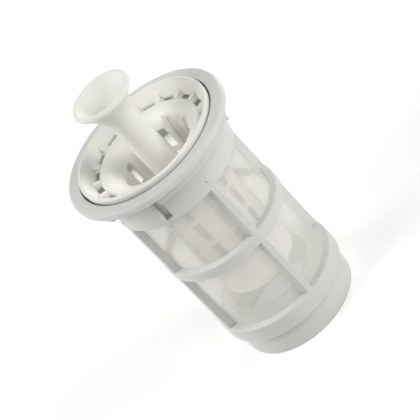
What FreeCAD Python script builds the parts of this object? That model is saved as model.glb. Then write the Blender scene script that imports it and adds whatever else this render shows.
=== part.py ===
import FreeCAD, Part
import os
import re
import Sketcher

# Cylindrical dishwasher filter.
# A fine mesh sleeve is held in an open moulded frame with a wide flange. A coarse filter with a
# conical dish, a ring of slots and a windowed basket drops into the frame from above, and lifts
# out by a trumpet-shaped handle.
# The frame stands on its base: the origin is the centre of the base ring, and +Z is up.
# The four ribs of the frame lie on the X and Y axes.

V = FreeCAD.Vector
document = FreeCAD.newDocument("dishwasher_filter")

# Driving dimensions, in millimetres or degrees. A text is a formula of the sizes above it.
SIZES = {
    # heights of the frame, from the base upwards
    "frame_height": 115.6,
    "base_top": 21.3,
    "collar_bottom": 12.2,
    "hoop_bottom": 56.9,
    "hoop_height": 5.4,
    "band_height": 22.5,
    # radii of the frame, each a step away from its bore
    "bore_radius": 28.0,
    "band_wall": 3.5,
    "band_radius": "=bore_radius + band_wall",
    "mouth_step": 4.2,
    "mouth_radius": "=bore_radius + mouth_step",
    "seat_step": 3.0,
    "seat_radius": "=mouth_radius + seat_step",
    "flange_step": 5.8,
    "flange_radius": "=seat_radius + flange_step",
    "collar_step": 3.6,
    "collar_radius": "=bore_radius + collar_step",
    "spigot_step": 0.9,
    "spigot_radius": "=bore_radius + spigot_step",
    "drain_step": 7.0,
    "drain_radius": "=bore_radius - drain_step",
    # flange, and the stepped mouth in it that takes the coarse filter
    "flange_thickness": 3.4,
    "flange_round": 1.0,
    "seat_depth": 2.4,
    "mouth_depth": 8.2,
    "mouth_cone": 3.4,
    "band_chamfer": 2.4,
    # bayonet ring under the flange, with its gaps
    "bayonet_step": 3.0,
    "bayonet_radius": "=flange_radius - bayonet_step",
    "bayonet_height": 4.3,
    "gap_wall": 1.2,
    "gap_radius": "=mouth_radius + gap_wall",
    "gap_angle": 38.0,
    "gap_turn": 96.4,
    "bayonet_count": 3,
    # base
    "collar_round": 1.4,
    "spigot_wall": 2.2,
    "spigot_round": 0.8,
    "floor_thickness": 2.0,
    "drain_lip_width": 1.6,
    "drain_lip_height": 2.2,
    # ribs between the windows of the frame
    "rib_count": 4,
    "rib_face": 3.4,
    "rib_root": 5.0,
    "edge_chamfer": 0.4,
    # stop tab and latch slot beside each bayonet gap
    "stop_width": 1.9,
    "stop_bite": 1.0,
    "stop_root_radius": "=bore_radius + stop_bite",
    "stop_reach": 4.0,
    "stop_bottom": 20.2,
    "latch_width": 3.5,
    "latch_turn": 109.0,
    "latch_top": 8.6,
    # mesh sleeve
    "mesh_thickness": 0.35,
    "mesh_clearance": 0.05,
    "mesh_overlap": 3.0,
    # dish and rim of the coarse filter
    "rim_gap": 0.9,
    "rim_height": 2.1,
    "lip_width": 1.6,
    "lip_round": 0.5,
    "neck_gap": 0.6,
    "neck_taper": 0.5,
    "dish_depth": 3.7,
    "coarse_wall": 1.5,
    # ring of slots, with a web between two
    "slot_count": 16,
    "slot_turn": 6.3,
    "slot_angle": 13.5,
    "slot_step": 2.8,
    "slot_outer_radius": "=mouth_radius - slot_step",
    "slot_width": 2.9,
    "slot_inner_radius": "=slot_outer_radius - slot_width",
    "cone_step": 0.2,
    "cone_foot_radius": "=slot_outer_radius + cone_step",
    "web_thickness": 2.3,
    "web_rise": 1.8,
    "web_bite": 0.3,
    "web_reach": 1.0,
    # well: the rim of the basket rolls down into it with one thickness of wall
    "well_radius": 17.7,
    "well_taper": 0.8,
    "plateau_rise": 0.5,
    "plateau_run": 0.5,
    "roll_radius": "=slot_inner_radius - plateau_run - well_radius",
    "basket_wall": 1.5,
    "roll_inside_radius": "=roll_radius - basket_wall",
    # basket of the coarse filter
    "basket_depth": 84.0,
    "basket_floor": 2.0,
    "window_count": 10,
    "window_turn": 12.0,
    "window_width": 4.0,
    "window_height": 11.7,
    "window_top": 10.5,
    "window_pitch": 13.9,
    # handle: a bell of even wall flares from the stem to the round lip of the mouth
    "stem_radius": 6.6,
    "foot_radius": 5.2,
    "foot_clearance": 0.05,
    "foot_plug": 4.0,
    "mouth_height": 29.4,
    "lip_ring_radius": 13.4,
    "lip_tube_radius": 1.4,
    "stem_bore": "=stem_radius - 2 * lip_tube_radius",
    "flare_radius": 21.0,
    "flare_reach": "=flare_radius + lip_tube_radius",
    "flare_across": "=stem_radius + flare_radius - lip_ring_radius",
    "flare_up": "=sqrt(flare_reach ^ 2 - flare_across ^ 2)",
    "bell_radius": "=flare_radius + 2 * lip_tube_radius",
    # how far a cut goes on past the faces it opens
    "cut_reach": 1.0,
}

# The tiers of windows in the basket wall
TIERS = 4

sheet = document.addObject("Spreadsheet::Sheet", "Sizes")
for row, (alias, value) in enumerate(SIZES.items(), start=1):
    sheet.set(f"A{row}", alias)
    sheet.set(f"B{row}", str(value))
    sheet.setAlias(f"B{row}", alias)
document.recompute()


def size(text):
    """Expression text with each driving dimension written as a cell of the sheet."""
    return re.sub(r"[a-z_]+[a-z]", lambda word: "Sizes." + word[0] if word[0] in SIZES else word[0], text)


def value(text):
    """Number that an expression gives with the present sizes."""
    return float(sheet.evalExpression(size(text)))


def drive(item, path, text):
    """Bind one property of an object to the driving dimensions."""
    item.setExpression(path, size(text))


def new_body(name):
    """Empty body whose label is the name of its node."""
    body = document.addObject("PartDesign::Body", name)
    body.Label = name
    return body


def origin_item(body, role):
    """One of a body's own origin planes or axes."""
    return next(item for item in body.Origin.OriginFeatures if item.Role == role)


def new_sketch(body, name, role, turn="0", lift="0"):
    """Sketch on an origin plane, turned about the part's axis and lifted along its own normal.

    The turn is an angle from 0 to 180 degrees.
    """
    sketch = body.newObject("Sketcher::SketchObject", name)
    sketch.AttachmentSupport = [(origin_item(body, role), "")]
    sketch.MapMode = "FlatFace"
    if role == "XY_Plane":
        turn_axis = V(0, 0, 1)
        drive(sketch, "AttachmentOffset.Base.z", lift)
    else:
        turn_axis = V(0, 1, 0)
        drive(sketch, "AttachmentOffset.Base.x", f"({lift}) * sin({turn})")
        drive(sketch, "AttachmentOffset.Base.z", f"({lift}) * cos({turn})")
    sketch.AttachmentOffset = FreeCAD.Placement(V(0, 0, 0), FreeCAD.Rotation(turn_axis, value(turn)))
    drive(sketch, "AttachmentOffset.Rotation.Angle", turn)
    return sketch


def draw_loop(sketch, corners):
    """Closed loop through corners (across, up, arc).

    Each corner is held by its two distances from the origin. An arc starts at its corner and ends
    at the next one: its text is the radius, and a minus sign in front bends it to the other side.
    """
    places = [V(value(across), value(up), 0) for across, up, arc in corners]
    first = sketch.GeometryCount
    for index, (across, up, arc) in enumerate(corners):
        start = places[index]
        end = places[(index + 1) % len(places)]
        if arc is None:
            sketch.addGeometry(Part.LineSegment(start, end), False)
            continue
        bend = -1.0 if arc.startswith("-") else 1.0
        radius = value(arc.lstrip("-"))
        chord = end - start
        middle = (start + end) * 0.5
        side = V(chord.y, -chord.x, 0).normalize() * bend
        sagitta = radius - max(radius ** 2 - (chord.Length / 2) ** 2, 0.0) ** 0.5
        sketch.addGeometry(Part.Arc(start, middle + side * sagitta, end), False)
    for index, (across, up, arc) in enumerate(corners):
        this = first + index
        following = first + (index + 1) % len(corners)
        begin, finish = loop_ends(sketch, this, places[index])
        next_begin, next_finish = loop_ends(sketch, following, places[(index + 1) % len(corners)])
        sketch.addConstraint(Sketcher.Constraint("Coincident", this, finish, following, next_begin))
        hold(sketch, "DistanceX", this, begin, across)
        hold(sketch, "DistanceY", this, begin, up)
        if arc is not None:
            number = sketch.addConstraint(Sketcher.Constraint("Radius", this, value(arc.lstrip("-"))))
            drive(sketch, f"Constraints[{number}]", arc.lstrip("-"))


def loop_ends(sketch, number, start):
    """Point numbers of a line or arc: the one at its start in the loop, then the other."""
    if (sketch.getPoint(number, 1) - start).Length < 1e-6:
        return 1, 2
    return 2, 1


def hold(sketch, kind, number, point, text):
    """Distance of one point from the sketch's origin, bound to the sizes."""
    if abs(value(text)) < 1e-9:
        axis = -2 if kind == "DistanceX" else -1
        sketch.addConstraint(Sketcher.Constraint("PointOnObject", number, point, axis))
        return
    index = sketch.addConstraint(Sketcher.Constraint(kind, -1, 1, number, point, value(text)))
    drive(sketch, f"Constraints[{index}]", text)


def revolve(body, name, corners, turn="0", angle=None, cut=False):
    """Solid of revolution about +Z from a loop in the half plane (radius, height)."""
    sketch = new_sketch(body, name + "_section", "XZ_Plane", turn)
    draw_loop(sketch, corners)
    feature = body.newObject("PartDesign::Groove" if cut else "PartDesign::Revolution", name)
    feature.Profile = sketch
    feature.ReferenceAxis = (sketch, ["V_Axis"])
    if angle is None:
        feature.Angle = 360.0
    else:
        feature.Midplane = True
        drive(feature, "Angle", angle)
    document.recompute()
    return feature


def repeat(body, name, feature, count):
    """Copies of one feature, evenly spaced about +Z."""
    pattern = body.newObject("PartDesign::PolarPattern", name)
    pattern.Originals = [feature]
    pattern.Axis = (origin_item(body, "Z_Axis"), [""])
    pattern.Angle = 360.0
    drive(pattern, "Occurrences", count)
    body.Tip = pattern
    document.recompute()
    return pattern


def box_corners(low_across, high_across, low_up, high_up):
    """Corners of a rectangle, for draw_loop."""
    return [
        (low_across, low_up, None),
        (high_across, low_up, None),
        (high_across, high_up, None),
        (low_across, high_up, None),
    ]


def make_frame():
    """Open frame: hoop, ribs, flange with band, base, bayonet gaps, stops and latch slots."""
    body = new_body("microfilter_frame")
    revolve(body, "hoop", [
        ("bore_radius", "hoop_bottom", None),
        ("band_radius - edge_chamfer", "hoop_bottom", None),
        ("band_radius", "hoop_bottom + edge_chamfer", None),
        ("band_radius", "hoop_bottom + hoop_height - edge_chamfer", None),
        ("band_radius - edge_chamfer", "hoop_bottom + hoop_height", None),
        ("bore_radius", "hoop_bottom + hoop_height", None),
    ])

    # one rib with drafted sides, from the base to the band
    sketch = new_sketch(body, "rib_section", "XY_Plane", "0", "base_top - floor_thickness / 2")
    draw_loop(sketch, [
        ("bore_radius", "-rib_root / 2", None),
        ("band_radius - edge_chamfer", "-rib_face / 2", None),
        ("band_radius", "-rib_face / 2 + edge_chamfer", "band_radius"),
        ("band_radius", "rib_face / 2 - edge_chamfer", None),
        ("band_radius - edge_chamfer", "rib_face / 2", None),
        ("bore_radius", "rib_root / 2", "-bore_radius"),
    ])
    rib = body.newObject("PartDesign::Pad", "rib")
    rib.Profile = sketch
    drive(rib, "Length", "frame_height - band_height + band_chamfer - base_top + floor_thickness")
    document.recompute()
    repeat(body, "ribs", rib, "rib_count")

    # flange, bayonet ring and solid band
    under_flange = "frame_height - flange_thickness"
    revolve(body, "flange_and_band", [
        ("bore_radius", "frame_height - band_height + band_chamfer", None),
        ("bore_radius + band_chamfer", "frame_height - band_height", None),
        ("band_radius - edge_chamfer", "frame_height - band_height", None),
        ("band_radius", "frame_height - band_height + edge_chamfer", None),
        ("band_radius", under_flange + " - bayonet_height", None),
        ("bayonet_radius - edge_chamfer", under_flange + " - bayonet_height", None),
        ("bayonet_radius", under_flange + " - bayonet_height + edge_chamfer", None),
        ("bayonet_radius", under_flange, None),
        ("flange_radius - edge_chamfer", under_flange, None),
        ("flange_radius", under_flange + " + edge_chamfer", None),
        ("flange_radius", "frame_height - flange_round", "flange_round"),
        ("flange_radius - flange_round", "frame_height", None),
        ("bore_radius", "frame_height", None),
    ])

    # base: ledge, rounded collar, spigot ring, floor with the lipped drain opening
    revolve(body, "base", [
        ("spigot_radius - spigot_wall", "0", None),
        ("spigot_radius - spigot_round", "0", "spigot_round"),
        ("spigot_radius", "spigot_round", None),
        ("spigot_radius", "collar_bottom", None),
        ("collar_radius - collar_round", "collar_bottom", "collar_round"),
        ("collar_radius", "collar_bottom + collar_round", None),
        ("collar_radius", "base_top - edge_chamfer", None),
        ("collar_radius - edge_chamfer", "base_top", None),
        ("drain_radius + drain_lip_width", "base_top", None),
        ("drain_radius + drain_lip_width", "base_top + drain_lip_height", None),
        ("drain_radius", "base_top + drain_lip_height", None),
        ("drain_radius", "base_top - floor_thickness", None),
        ("spigot_radius - spigot_wall", "base_top - floor_thickness", None),
    ])

    # gaps in the bayonet ring
    gap = revolve(
        body,
        "bayonet_gap",
        box_corners("gap_radius", "flange_radius", "frame_height - mouth_depth", under_flange),
        "gap_turn",
        "gap_angle",
        cut=True,
    )
    repeat(body, "bayonet_gaps", gap, "bayonet_count")

    # stop tab down the band, beside the latch slot
    sketch = new_sketch(body, "stop_face", "YZ_Plane", "latch_turn", "stop_root_radius")
    draw_loop(sketch, box_corners(
        "-latch_width / 2 - stop_width", "-latch_width / 2", "frame_height - stop_bottom", under_flange,
    ))
    stop = body.newObject("PartDesign::Pad", "stop")
    stop.Profile = sketch
    drive(stop, "Length", "stop_reach")
    document.recompute()
    repeat(body, "stops", stop, "bayonet_count")

    sketch = new_sketch(body, "latch_outline", "YZ_Plane", "latch_turn", "flange_radius")
    draw_loop(sketch, box_corners(
        "-latch_width / 2", "latch_width / 2", "frame_height - stop_bottom", "frame_height - latch_top",
    ))
    latch = body.newObject("PartDesign::Pocket", "latch")
    latch.Profile = sketch
    drive(latch, "Length", "flange_radius - bore_radius + cut_reach")
    document.recompute()
    repeat(body, "latches", latch, "bayonet_count")

    # stepped mouth that takes the dish: the seat of its rim, a straight neck, and a cone into the bore
    revolve(body, "mouth", [
        ("bore_radius", "frame_height - mouth_depth", None),
        ("mouth_radius", "frame_height - mouth_depth + mouth_cone", None),
        ("mouth_radius", "frame_height - seat_depth", None),
        ("seat_radius", "frame_height - seat_depth", None),
        ("seat_radius", "frame_height + cut_reach", None),
        ("bore_radius - cut_reach", "frame_height + cut_reach", None),
        ("bore_radius - cut_reach", "frame_height - mouth_depth", None),
    ], cut=True)
    return body


def make_mesh():
    """Woven sleeve: a thin tube that stands on the base and ends behind the solid band."""
    body = new_body("mesh_sleeve")
    outside = "bore_radius - mesh_clearance"
    revolve(body, "sleeve", box_corners(
        outside + " - mesh_thickness", outside, "base_top", "frame_height - band_height + mesh_overlap",
    ))
    return body


def make_coarse_filter():
    """Rim, conical dish, ring of slots, and a basket with windows, in one moulding."""
    body = new_body("coarse_filter")
    rim = "seat_radius - rim_gap"
    neck = "mouth_radius - neck_gap"
    floor = "frame_height - dish_depth"
    under = floor + " - coarse_wall"
    plateau = floor + " + plateau_rise"
    bottom = "frame_height - basket_depth"
    revolve(body, "dish_and_basket", [
        ("foot_radius + foot_clearance", bottom, None),
        ("well_radius - well_taper + basket_wall", bottom, None),
        ("well_radius + basket_wall", plateau + " - roll_radius", "-roll_inside_radius"),
        ("well_radius + roll_radius", plateau + " - basket_wall", None),
        (neck + " - neck_taper", under, None),
        (neck, "frame_height - seat_depth", None),
        (rim, "frame_height - seat_depth", None),
        (rim, "frame_height + rim_height - lip_round", "lip_round"),
        (rim + " - lip_round", "frame_height + rim_height", None),
        (rim + " - lip_width", "frame_height + rim_height", None),
        ("cone_foot_radius", floor, None),
        ("slot_inner_radius", floor, None),
        ("well_radius + roll_radius", plateau, "roll_radius"),
        ("well_radius", plateau + " - roll_radius", None),
        ("well_radius - well_taper", bottom + " + basket_floor", None),
        ("foot_radius + foot_clearance", bottom + " + basket_floor", None),
    ])

    slot = revolve(
        body,
        "slot",
        box_corners("slot_inner_radius", "slot_outer_radius", under + " - cut_reach", floor + " + cut_reach"),
        "slot_turn",
        "slot_angle",
        cut=True,
    )
    repeat(body, "slots", slot, "slot_count")

    # triangular web between two slots, from the dish wall down to the plateau
    sketch = new_sketch(body, "web_outline", "XZ_Plane", "slot_turn + 180 / slot_count")
    draw_loop(sketch, [
        ("slot_inner_radius - web_bite", floor + " - coarse_wall / 2", None),
        ("slot_outer_radius + web_reach", floor + " - coarse_wall / 2", None),
        ("slot_outer_radius + web_reach", floor + " + web_rise", None),
        ("slot_inner_radius - web_bite", plateau, None),
    ])
    web = body.newObject("PartDesign::Pad", "web")
    web.Profile = sketch
    web.Midplane = True
    drive(web, "Length", "web_thickness")
    document.recompute()
    repeat(body, "webs", web, "slot_count")

    # windows of the basket, one above the other, then repeated round the wall
    sketch = new_sketch(body, "window_outlines", "YZ_Plane", "window_turn")
    for tier in range(TIERS):
        top = f"frame_height - window_top - {tier} * window_pitch"
        draw_loop(sketch, box_corners("-window_width / 2", "window_width / 2", top + " - window_height", top))
    windows = body.newObject("PartDesign::Pocket", "windows")
    windows.Profile = sketch
    windows.Reversed = True
    drive(windows, "Length", "well_radius + basket_wall + cut_reach")
    document.recompute()
    repeat(body, "basket_windows", windows, "window_count")
    return body


def make_handle():
    """Hollow stem with a trumpet mouth. Its foot plugs into the floor of the basket."""
    body = new_body("handle")
    bottom = "frame_height - basket_depth"
    mouth = "frame_height + mouth_height"
    lip_outside = (
        "lip_ring_radius + lip_tube_radius * flare_across / flare_reach",
        mouth + " - lip_tube_radius * flare_up / flare_reach",
    )
    lip_inside = (
        "lip_ring_radius - lip_tube_radius * flare_across / flare_reach",
        mouth + " + lip_tube_radius * flare_up / flare_reach",
    )
    revolve(body, "stem_and_trumpet", [
        ("0", bottom, None),
        ("foot_radius", bottom, None),
        ("foot_radius", bottom + " + basket_floor", None),
        ("stem_radius", bottom + " + basket_floor", None),
        ("stem_radius", mouth + " - flare_up", "-flare_radius"),
        (*lip_outside, "lip_tube_radius"),
        ("lip_ring_radius", mouth + " + lip_tube_radius", "lip_tube_radius"),
        (*lip_inside, "bell_radius"),
        ("stem_bore", mouth + " - flare_up", None),
        ("stem_bore", bottom + " + foot_plug", None),
        ("0", bottom + " + foot_plug", None),
    ])
    return body


bodies = [make_frame(), make_mesh(), make_coarse_filter(), make_handle()]
document.recompute()

for item in document.Objects:
    faults = [word for word in item.State if word in ("Invalid", "Error")]
    if faults:
        raise RuntimeError(f"{item.Name}: {faults}")

os.makedirs("parts", exist_ok=True)
for body in bodies:
    shape = body.Shape
    if shape.isNull() or not shape.isValid() or len(shape.Solids) != 1:
        raise RuntimeError(f"{body.Label} is not one valid solid")
    shape.exportStep(f"parts/{body.Label}.step")
    print(body.Label, "volume", round(shape.Volume), "mm3, faces", len(shape.Faces))
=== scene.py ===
# %% [markdown]
# # A dishwasher filter, dressed for a studio picture
#
# The real object is a stack of three plain things. A moulded frame with a wide flange holds a sleeve
# of woven mesh, and a coarse filter drops into it from above: a dish with a ring of slots, a basket
# under it, and a trumpet-shaped handle to lift it by. Everything is off-white plastic.
#
# The shapes come from a CAD model, loaded here as a frame that nothing moves. White plastic on white
# paper has hardly any colour to show its form, so the form has to come from rounded edges, soft light
# and a little light that travels through the plastic. The cells below add those one at a time.

import math

import bpy
import numpy as np
from mathutils import Matrix, Vector


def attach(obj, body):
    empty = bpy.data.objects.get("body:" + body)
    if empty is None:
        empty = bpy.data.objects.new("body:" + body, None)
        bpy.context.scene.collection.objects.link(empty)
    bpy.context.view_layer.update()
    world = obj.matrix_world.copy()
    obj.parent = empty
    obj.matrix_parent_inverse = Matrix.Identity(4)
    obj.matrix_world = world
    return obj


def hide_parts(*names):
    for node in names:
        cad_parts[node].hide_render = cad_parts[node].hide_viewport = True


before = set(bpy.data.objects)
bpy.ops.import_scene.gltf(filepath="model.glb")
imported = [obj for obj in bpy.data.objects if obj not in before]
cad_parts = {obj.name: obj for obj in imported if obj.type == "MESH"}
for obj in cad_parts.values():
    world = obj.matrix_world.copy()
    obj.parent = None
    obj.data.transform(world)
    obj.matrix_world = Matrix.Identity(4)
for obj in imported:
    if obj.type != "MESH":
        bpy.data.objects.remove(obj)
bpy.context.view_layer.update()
MM = 0.001

scene = bpy.context.scene
scene.view_settings.view_transform = "Standard"

# %% [markdown]
# ## The camera
#
# The flange, the mesh sleeve and the base of the filter are all circles, and each circle shows in the
# picture as an ellipse. Their shapes and centres give the place of the camera and its long lens. The
# camera is rolled, so that the filter seems to lie on the slant, with its handle to the upper left.
# Two directions say how it is held, its right and its forward one, and its up direction follows.

# %% Place the camera
PICTURE_WIDTH_PX = 420
FOCAL_LENGTH_PX = 2312.75
SENSOR_WIDTH = 36.0
CAMERA_PLACE = Vector((-201.9, -834.2, 597.9)) * MM
CAMERA_RIGHT = Vector((0.61546, -0.52350, -0.58930))
CAMERA_FORWARD = Vector((0.20006, 0.82694, -0.52560))

right = CAMERA_RIGHT.normalized()
forward = (CAMERA_FORWARD - right * CAMERA_FORWARD.dot(right)).normalized()
up = right.cross(forward)
turn = Matrix((right, up, -forward)).transposed().to_4x4()

camera_data = bpy.data.cameras.new("camera")
camera_data.sensor_width = SENSOR_WIDTH
camera_data.lens = FOCAL_LENGTH_PX * SENSOR_WIDTH / PICTURE_WIDTH_PX
camera = bpy.data.objects.new("camera", camera_data)
camera.matrix_world = Matrix.Translation(CAMERA_PLACE) @ turn
scene.collection.objects.link(camera)
scene.camera = camera
print("lens:", round(camera_data.lens, 1), "mm, camera", round(CAMERA_PLACE.length, 2), "m from the origin")

# %% [markdown]
# ## Three helpers for materials
#
# A colour picked from a picture is an sRGB hex value, and the shader wants linear light, so one
# function turns the one into the other. A second function adds a node, sets its properties and fills
# its sockets with values or with links, so each material below reads as a list of what it does. The
# third starts an empty material.

# %% Helpers for materials
def hex_colour(text):
    """Linear RGBA of an sRGB hex colour: c/12.92 below 0.04045, ((c + 0.055)/1.055)^2.4 above."""
    srgb = np.array([int(text[i:i + 2], 16) / 255 for i in (1, 3, 5)])
    linear = np.where(srgb <= 0.04045, srgb / 12.92, ((srgb + 0.055) / 1.055) ** 2.4)
    return (*linear.tolist(), 1.0)


def add(tree, kind, sockets=None, **settings):
    """One new node. Settings are its properties, and each socket gets a value or a link."""
    node = tree.nodes.new(kind)
    for name, value in settings.items():
        setattr(node, name, value)
    for name, value in (sockets or {}).items():
        if isinstance(value, bpy.types.NodeSocket):
            tree.links.new(value, node.inputs[name])
        else:
            node.inputs[name].default_value = value
    return node


def new_material(name):
    """Empty node material, with its node tree and its output node."""
    material = bpy.data.materials.new(name)
    material.use_nodes = True
    material.node_tree.nodes.clear()
    return material, material.node_tree, add(material.node_tree, "ShaderNodeOutputMaterial")


print("white paper, linear:", [round(x, 3) for x in hex_colour("#F2F2F0")])

# %% [markdown]
# ## Moulded polypropylene
#
# The frame, the coarse filter and its handle are polypropylene, injected into steel moulds. Its look has
# four parts. The plastic is slightly see-through, so its shadows have soft edges: that is subsurface
# scattering over half a millimetre. The mould was spark-eroded, which leaves a satin grain of about a
# tenth of a millimetre. The melt cools unevenly, which leaves faint clouds a few centimetres wide. And no
# edge of a moulding is a knife edge: each has a small radius that draws a thin line of light. The shader
# rounds the light on every edge by itself, so the CAD meshes are used as they are. The grain is too fine
# for a picture of this size, so it is drawn four times as coarse.
#
# In the gap round the lip, in the slots and behind the tabs the colour is darkened towards a grey-brown:
# this is painted shade, standing in for the shadow in these narrow crevices. How much of the sky a point
# sees within three millimetres tells how deep in a crevice it lies, and that mixes the painted shade in. It
# draws the fine dark lines between the white pieces that the eye needs to tell them apart.

# %% Make the two plastics
GRAIN = 0.4 * MM
CLOUD = 25 * MM
EDGE_RADIUS = 0.2 * MM
SCATTER = 0.5 * MM
PAINTED_SHADE_REACH = 3.0 * MM
PAINTED_SHADE_COLOUR = "#A09A8A"
# the painted shade is full where a point sees the first share of the sky, and gone where it sees the second
PAINTED_SHADE_SKY = (0.15, 0.52)


def moulded_polypropylene(name, colour, cloud_colour, roughness, cloudy_roughness):
    """Satin plastic with soft shadows: clouds, painted shade in the crevices, fine grain and round edges.
    """
    material, tree, output = new_material(name)
    place = add(tree, "ShaderNodeTexCoord").outputs["Object"]
    cloud = add(tree, "ShaderNodeTexNoise", {"Vector": place, "Scale": 1 / CLOUD, "Detail": 3.0})
    grain = add(tree, "ShaderNodeTexNoise", {"Vector": place, "Scale": 1 / GRAIN, "Detail": 1.0})
    tint = add(tree, "ShaderNodeMix", {"Factor": cloud.outputs["Fac"]}, data_type="RGBA")
    tint.inputs[6].default_value = hex_colour(colour)
    tint.inputs[7].default_value = hex_colour(cloud_colour)
    # painted shade: where a point sees little sky within reach, its colour is darkened towards a grey-brown
    sky = add(tree, "ShaderNodeAmbientOcclusion", {"Distance": PAINTED_SHADE_REACH}, samples=8)
    unshaded = add(tree, "ShaderNodeMapRange", {
        "Value": sky.outputs["AO"], "From Min": PAINTED_SHADE_SKY[0], "From Max": PAINTED_SHADE_SKY[1],
        "To Min": 0.0, "To Max": 1.0,
    })
    shaded_tint = add(tree, "ShaderNodeMix", {"Factor": unshaded.outputs["Result"]}, data_type="RGBA")
    shaded_tint.inputs[6].default_value = hex_colour(PAINTED_SHADE_COLOUR)
    tree.links.new(tint.outputs[2], shaded_tint.inputs[7])
    gloss = add(tree, "ShaderNodeMapRange", {
        "Value": cloud.outputs["Fac"], "From Min": 0.3, "From Max": 0.7,
        "To Min": roughness, "To Max": cloudy_roughness,
    })
    edge = add(tree, "ShaderNodeBevel", {"Radius": EDGE_RADIUS}, samples=4)
    relief = add(tree, "ShaderNodeBump", {
        "Height": grain.outputs["Fac"], "Strength": 0.12, "Distance": 0.02 * MM,
        "Normal": edge.outputs["Normal"],
    })
    plastic = add(tree, "ShaderNodeBsdfPrincipled", {
        "Base Color": shaded_tint.outputs[2],
        "Roughness": gloss.outputs["Result"],
        "Normal": relief.outputs["Normal"],
        "IOR": 1.49,
        "Subsurface Weight": 0.1,
        "Subsurface Radius": (1.0, 0.95, 0.85),
        "Subsurface Scale": SCATTER,
    })
    tree.links.new(plastic.outputs["BSDF"], output.inputs["Surface"])
    return material


def dress(node, material):
    """Give a CAD node its finish."""
    mesh_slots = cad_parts[node].material_slots
    for slot in mesh_slots:
        slot.material = material
    print(node, "wears", material.name, "in", len(mesh_slots), "slot")


frame_plastic = moulded_polypropylene("moulded_polypropylene_grey_white", "#DFE0DD", "#DADBD7", 0.44, 0.54)
insert_plastic = moulded_polypropylene("moulded_polypropylene_white", "#F7F6F0", "#F3F2EB", 0.50, 0.60)
dress("microfilter_frame", frame_plastic)
dress("coarse_filter", insert_plastic)
dress("handle", insert_plastic)

# %% [markdown]
# ## Fins in the basket
#
# The basket has thin upright fins on its inside, which end in a rounded tooth just above the rolled
# rim. Each is a flat plate in a plane through the axis: an outline of radius and height, given a
# thickness. The picture shows two of them, side by side on the far wall.

# %% Add the fins
FIN_OUTLINE = (
    (15.6, 33.0), (17.6, 33.0), (18.4, 104.0), (18.4, 112.4),
    (17.7, 112.3), (16.7, 111.6), (15.9, 110.4), (15.6, 109.0),
)
FIN_THICKNESS = 1.1 * MM
FIN_ANGLES = (-6, 30)


def plate(outline, thickness, angle):
    """Corners and faces of a flat plate in a plane through the axis, at an angle in degrees.

    The outline is (radius, height) in millimetres, and a corner is radius * (cos a, sin a) at that height.
    """
    turn = math.radians(angle)
    outward = np.array([math.cos(turn), math.sin(turn), 0.0])
    across = np.array([-math.sin(turn), math.cos(turn), 0.0])
    flat = np.array([radius * outward + (0, 0, height) for radius, height in outline]) * MM
    corners = np.concatenate([flat - across * thickness / 2, flat + across * thickness / 2])
    count = len(outline)
    sides = [((i + 1) % count, i, i + count, (i + 1) % count + count) for i in range(count)]
    return corners, [tuple(range(count)), tuple(range(count, 2 * count))[::-1], *sides]


def one_object(name, pieces, material):
    """One object in the scene from a list of (corners, faces), numbered on from piece to piece."""
    all_corners = []
    all_faces = []
    for corners, faces in pieces:
        all_faces += [tuple(i + len(all_corners) for i in face) for face in faces]
        all_corners += corners.tolist()
    mesh = bpy.data.meshes.new(name)
    mesh.from_pydata(all_corners, [], all_faces)
    mesh.materials.append(material)
    made = bpy.data.objects.new(name, mesh)
    scene.collection.objects.link(made)
    return made


fin_pieces = [plate(FIN_OUTLINE, FIN_THICKNESS, angle) for angle in FIN_ANGLES]
fins = one_object("basket_fins", fin_pieces, insert_plastic)
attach(fins, "coarse_insert")
print("fins:", len(FIN_ANGLES), "plates,", len(fins.data.polygons), "faces")

# %% [markdown]
# ## The floor of the latch slots
#
# Beside each stop tab the band has an upright slot, which takes the catch of the sump. In the picture the
# slot is no hole: it ends in a grey, shaded wall. So a thin plate, sunk in the band, closes each slot from
# behind. It is the same kind of plate as a fin, only short and wide.

# %% Close the latch slots
LATCH_OUTLINE = ((28.3, 95.0), (29.1, 95.0), (29.1, 107.4), (28.3, 107.4))
LATCH_WIDTH = 4.1 * MM
LATCH_ANGLES = (109, 229, 349)

latch_pieces = [plate(LATCH_OUTLINE, LATCH_WIDTH, angle) for angle in LATCH_ANGLES]
latches = one_object("latch_floors", latch_pieces, frame_plastic)
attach(latches, "microfilter")
print("latch floors:", len(LATCH_ANGLES))

# %% [markdown]
# ## Gate marks on the frame
#
# The melt enters the mould of the frame at a few small gates, and each one leaves a pip where it was cut
# off. The picture shows one on the band, in line with the front rib. A rib is a channel for the melt as
# well, so there is one above each. A pip is a small ball, sunk in the wall up to its middle.

# %% Add the gate marks
PIP_RADIUS = 0.75 * MM
PIP_HEIGHT = 97.8 * MM
BAND_RADIUS = 31.5 * MM
PIP_ANGLES = (-90, 0, 90, 180)
RINGS = 7
SPOKES = 12


def ball(radius):
    """Corners and faces of a ball round the origin, as rings between two poles.

    A corner is radius * (sin p cos q, sin p sin q, cos p), with p from the upper pole and q round the axis.
    """
    from_pole = np.linspace(0, np.pi, RINGS + 2)[1:-1]
    round_axis = np.linspace(0, 2 * np.pi, SPOKES, endpoint=False)
    polar, turned = np.meshgrid(from_pole, round_axis, indexing="ij")
    across = np.sin(polar)
    grid = np.stack([across * np.cos(turned), across * np.sin(turned), np.cos(polar)], axis=-1)
    corners = np.concatenate([grid.reshape(-1, 3), [(0, 0, 1), (0, 0, -1)]]) * radius
    top, bottom = RINGS * SPOKES, RINGS * SPOKES + 1
    faces = []
    for spoke in range(SPOKES):
        beside = (spoke + 1) % SPOKES
        faces.append((top, spoke, beside))
        for ring in range(0, (RINGS - 1) * SPOKES, SPOKES):
            below = ring + SPOKES
            faces.append((ring + spoke, below + spoke, below + beside, ring + beside))
        faces.append((bottom, (RINGS - 1) * SPOKES + beside, (RINGS - 1) * SPOKES + spoke))
    return corners, faces


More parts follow.
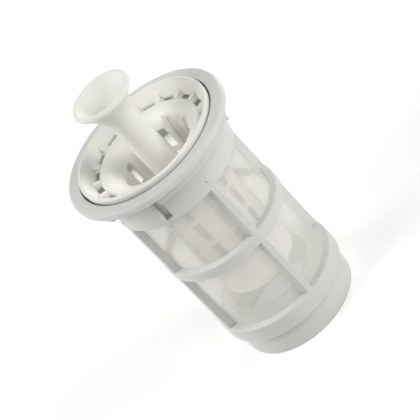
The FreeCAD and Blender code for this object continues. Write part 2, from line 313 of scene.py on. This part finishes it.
corners, faces = ball(PIP_RADIUS)
pip_pieces = []
for angle in np.radians(PIP_ANGLES):
    centre = (BAND_RADIUS * np.cos(angle), BAND_RADIUS * np.sin(angle), PIP_HEIGHT)
    pip_pieces.append((corners + centre, faces))
pips = one_object("gate_marks", pip_pieces, frame_plastic)
pips.data.shade_smooth()
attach(pips, "microfilter")
print("gate marks:", len(PIP_ANGLES), "of", round(2 * PIP_RADIUS / MM, 1), "mm")

# %% [markdown]
# ## The mesh sleeve
#
# The fine filter is a sleeve of woven nylon, put in the mould before the frame was injected round it.
# It is held along the four ribs, the hoop, the base and the band, and between them it is a free cloth:
# it shrinks a little as it cools, so each of the eight panes pulls in towards the axis by half a
# millimetre and has shallow waves. So the sleeve is a surface of two numbers, the angle and the height,
# and the pull is a product of waves that are zero along everything that holds the cloth.

# %% Shape the mesh sleeve
SLEEVE_RADIUS = 27.8 * MM
SLEEVE_BOTTOM = 21.35 * MM
SLEEVE_TOP = 96.05 * MM
PANES = ((22.5 * MM, 56.5 * MM), (62.5 * MM, 94.0 * MM))
PULL = 0.55 * MM
# two sets of shallow waves: their share of the pull, how many go once round, and radians per metre up
WAVES = ((0.35, 9, 150), (0.20, 17, -310))
STEPS_ROUND = 240
STEPS_UP = 150


def pane_rise(height):
    """Half a wave over each pane, the sine of pi times the share of its height, and zero between panes."""
    rise = np.zeros_like(height)
    for low, high in PANES:
        share = np.clip((height - low) / (high - low), 0.0, 1.0)
        rise += np.sin(np.pi * share)
    return rise


def sleeve_points(angle, height):
    """Cloth round the axis: the sleeve's radius, less the pull times sin^2(2 angle) and the pane's rise.

    Each set of waves adds its share times sin(round * angle + up * height), so no two panes are alike.
    """
    slack = np.sin(2 * angle) ** 2 * pane_rise(height)
    waves = sum(share * np.sin(around * angle + rise * height) for share, around, rise in WAVES)
    radius = SLEEVE_RADIUS - PULL * slack * (1 + waves)
    return np.stack([radius * np.cos(angle), radius * np.sin(angle), height], axis=-1)


angles = np.linspace(0, 2 * np.pi, STEPS_ROUND, endpoint=False)
heights = np.linspace(SLEEVE_BOTTOM, SLEEVE_TOP, STEPS_UP)
height_grid, angle_grid = np.meshgrid(heights, angles, indexing="ij")
points = sleeve_points(angle_grid, height_grid).reshape(-1, 3)

row, column = np.meshgrid(np.arange(STEPS_UP - 1), np.arange(STEPS_ROUND), indexing="ij")
after = (column + 1) % STEPS_ROUND
quads = np.stack([
    row * STEPS_ROUND + column, row * STEPS_ROUND + after,
    (row + 1) * STEPS_ROUND + after, (row + 1) * STEPS_ROUND + column,
], axis=-1).reshape(-1, 4)
sleeve_mesh = bpy.data.meshes.new("woven_sleeve")
sleeve_mesh.from_pydata(points.tolist(), [], quads.tolist())
sleeve_mesh.shade_smooth()

# the cloth laid flat, in metres: once round is the first axis, and up is the second
round_step = 2 * np.pi * SLEEVE_RADIUS / STEPS_ROUND
flat_across = np.stack([column, column + 1, column + 1, column], axis=-1) * round_step
flat_up = np.stack([heights[row], heights[row], heights[row + 1], heights[row + 1]], axis=-1)
flat = np.stack([flat_across, flat_up], axis=-1)
flat_map = sleeve_mesh.uv_layers.new(name="cloth")
flat_map.data.foreach_set("uv", flat.astype(np.float32).ravel())

sleeve = bpy.data.objects.new("woven_sleeve", sleeve_mesh)
scene.collection.objects.link(sleeve)
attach(sleeve, "microfilter")
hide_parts("mesh_sleeve")
reach = np.hypot(points[:, 0], points[:, 1]) / MM
print("sleeve:", len(sleeve_mesh.polygons), "quads")
print("its radius in mm:", reach.min().round(2), "to", reach.max().round(2))

# %% [markdown]
# ## Woven nylon
#
# The cloth is plain-woven nylon monofilament: clear round threads that cross over and under. From near
# by it is a grid of bright threads and holes, and from farther off a silky veil, through which the
# basket shows softly. Real threads are 0.1 millimetre thick and 0.2 apart, which no picture of this
# size can show, so they are drawn two and a half times as coarse. The holes are transparent, the
# threads shine like satin, and part of the light passes through them and spreads.

# %% Weave the cloth
THREAD_PITCH = 0.5 * MM
THREAD_WIDTH = 0.28 * MM
PASSED_SHARE = 0.55

woven_nylon, tree, output = new_material("woven_nylon_monofilament")
flat_place = add(tree, "ShaderNodeUVMap", uv_map="cloth").outputs["UV"]
threads = add(tree, "ShaderNodeVectorMath", {0: flat_place, "Scale": 1 / THREAD_PITCH}, operation="SCALE")
apart = add(tree, "ShaderNodeSeparateXYZ", {"Vector": threads.outputs["Vector"]})
half_width = 0.5 * THREAD_WIDTH / THREAD_PITCH
heights_of = []
for direction in ("X", "Y"):
    away = add(tree, "ShaderNodeMath", {0: apart.outputs[direction], 1: 0.5}, operation="PINGPONG")
    heights_of.append(add(tree, "ShaderNodeMapRange", {
        "Value": away.outputs[0], "From Min": 0.0, "From Max": half_width, "To Min": 1.0, "To Max": 0.0,
    }).outputs[0])
thread = add(tree, "ShaderNodeMath", {0: heights_of[0], 1: heights_of[1]}, operation="MAXIMUM")
covered = add(tree, "ShaderNodeMath", {0: thread.outputs[0], 1: 0.0}, operation="GREATER_THAN")
roundness = add(tree, "ShaderNodeBump", {
    "Height": thread.outputs[0], "Strength": 0.25, "Distance": 0.05 * MM,
})

nylon = add(tree, "ShaderNodeBsdfPrincipled", {
    "Base Color": hex_colour("#EFEEEA"),
    "Roughness": 0.42,
    "IOR": 1.53,
    "Anisotropic": 0.75,
    "Anisotropic Rotation": 0.25,
    "Tangent": add(tree, "ShaderNodeTangent", direction_type="RADIAL", axis="Z").outputs["Tangent"],
    "Normal": roundness.outputs["Normal"],
})
passed = add(tree, "ShaderNodeBsdfTranslucent", {"Color": hex_colour("#F6F5F2")})
strand = add(tree, "ShaderNodeMixShader", {0: PASSED_SHARE, 1: nylon.outputs[0], 2: passed.outputs[0]})
hole = add(tree, "ShaderNodeBsdfTransparent", {"Color": (1, 1, 1, 1)})
cloth = add(tree, "ShaderNodeMixShader", {0: covered.outputs[0], 1: hole.outputs[0], 2: strand.outputs[0]})
tree.links.new(cloth.outputs[0], output.inputs["Surface"])
sleeve_mesh.materials.append(woven_nylon)
share = 1 - (1 - THREAD_WIDTH / THREAD_PITCH) ** 2
print("threads cover", round(100 * share), "% of the cloth")

# %% [markdown]
# ## The floor
#
# The picture is a cut-out on white paper. A pale floor carries the soft shadow of the filter, and a
# little light of its own, which only the eye of the camera and its reflections see, lifts it to white.
# The lamps reach a metre or so, and past that the floor's own light takes over from theirs.

# %% Make the floor
FLOOR_SIZE = 8.0
NEAR_GLOW = 0.33
LAMP_REACH = (0.4, 1.4)


def seen_by_eye(tree):
    """One for the rays of the camera, also in gloss or glass, and zero for the light on the object."""
    rays = add(tree, "ShaderNodeLightPath").outputs
    seen = rays["Is Camera Ray"]
    for kind in ("Is Glossy Ray", "Is Transmission Ray"):
        seen = add(tree, "ShaderNodeMath", {0: seen, 1: rays[kind]}, operation="MAXIMUM").outputs[0]
    return seen


white_paper, tree, output = new_material("matt_white_paper")
place = add(tree, "ShaderNodeTexCoord").outputs["Object"]
away = add(tree, "ShaderNodeVectorMath", {0: place}, operation="LENGTH")
near = add(tree, "ShaderNodeMapRange", {
    "Value": away.outputs["Value"], "From Min": LAMP_REACH[0], "From Max": LAMP_REACH[1],
    "To Min": NEAR_GLOW, "To Max": 1.0,
})
lift = add(tree, "ShaderNodeMath", {0: seen_by_eye(tree), 1: near.outputs["Result"]}, operation="MULTIPLY")
paper = add(tree, "ShaderNodeBsdfDiffuse", {"Color": hex_colour("#F2F2F0")})
glow = add(tree, "ShaderNodeEmission", {"Color": (1, 1, 1, 1), "Strength": lift.outputs[0]})
both = add(tree, "ShaderNodeAddShader", {0: paper.outputs[0], 1: glow.outputs[0]})
tree.links.new(both.outputs[0], output.inputs["Surface"])

half = FLOOR_SIZE / 2
floor_mesh = bpy.data.meshes.new("floor")
floor_corners = [(-half, -half, 0), (half, -half, 0), (half, half, 0), (-half, half, 0)]
floor_mesh.from_pydata(floor_corners, [], [(0, 1, 2, 3)])
floor_mesh.materials.append(white_paper)
floor = bpy.data.objects.new("floor", floor_mesh)
scene.collection.objects.link(floor)
print("floor:", FLOOR_SIZE, "m square")

# %% [markdown]
# ## The light
#
# The shading of the picture tells where its light comes from. The flange and the band are brightest on
# the right, and the sides of the ribs that face left and down are grey, so the strongest lamp is low at
# the right front. A high lamp from the left opens the dish, and weaker lamps behind give the far edges
# their outline. There is next to no light from everywhere, or the gaps and slots would turn pale. The
# eye sees plain white past the edge of the floor.

# %% Light the scene
AMBIENT = 0.02
LAMP_TARGET = Vector((0, 0, 0.07))
LAMP_DISTANCE = 1.2
LAMP_WIDTH = 0.45

world = bpy.data.worlds.new("studio")
scene.world = world
world.use_nodes = True
world.node_tree.nodes.clear()
tree = world.node_tree
output = add(tree, "ShaderNodeOutputWorld")
ambient = add(tree, "ShaderNodeBackground", {"Color": (1, 1, 1, 1), "Strength": AMBIENT})
white = add(tree, "ShaderNodeBackground", {"Color": (1, 1, 1, 1), "Strength": 1.0})
mix = add(tree, "ShaderNodeMixShader", {0: seen_by_eye(tree), 1: ambient.outputs[0], 2: white.outputs[0]})
tree.links.new(mix.outputs[0], output.inputs["Surface"])


def softbox(name, direction, power):
    """Square area lamp that looks at the middle of the filter from a direction, with a power in watts."""
    data = bpy.data.lights.new(name, "AREA")
    data.size = LAMP_WIDTH
    data.energy = power
    lamp = bpy.data.objects.new(name, data)
    away = Vector(direction).normalized()
    lamp.location = LAMP_TARGET + away * LAMP_DISTANCE
    lamp.rotation_mode = "QUATERNION"
    lamp.rotation_quaternion = away.to_track_quat("Z", "Y")
    scene.collection.objects.link(lamp)


for name, direction, power in (
    ("left", (-0.71, 0.0, 0.71), 4.3),
    ("front", (0.0, -0.71, 0.71), 2.5),
    ("right_front", (0.5, -0.5, 0.71), 2.4),
    ("back_left", (-0.5, 0.5, 0.71), 2.3),
    ("right_back", (0.5, 0.5, 0.71), 1.1),
    ("low_right_front", (0.68, -0.68, 0.26), 5.2),
    ("low_right_back", (0.68, 0.68, 0.26), 4.0),
    ("low_back_left", (-0.68, 0.68, 0.26), 2.9),
    ("low_left", (-0.97, 0.0, 0.26), 0.8),
):
    softbox(name, direction, power)
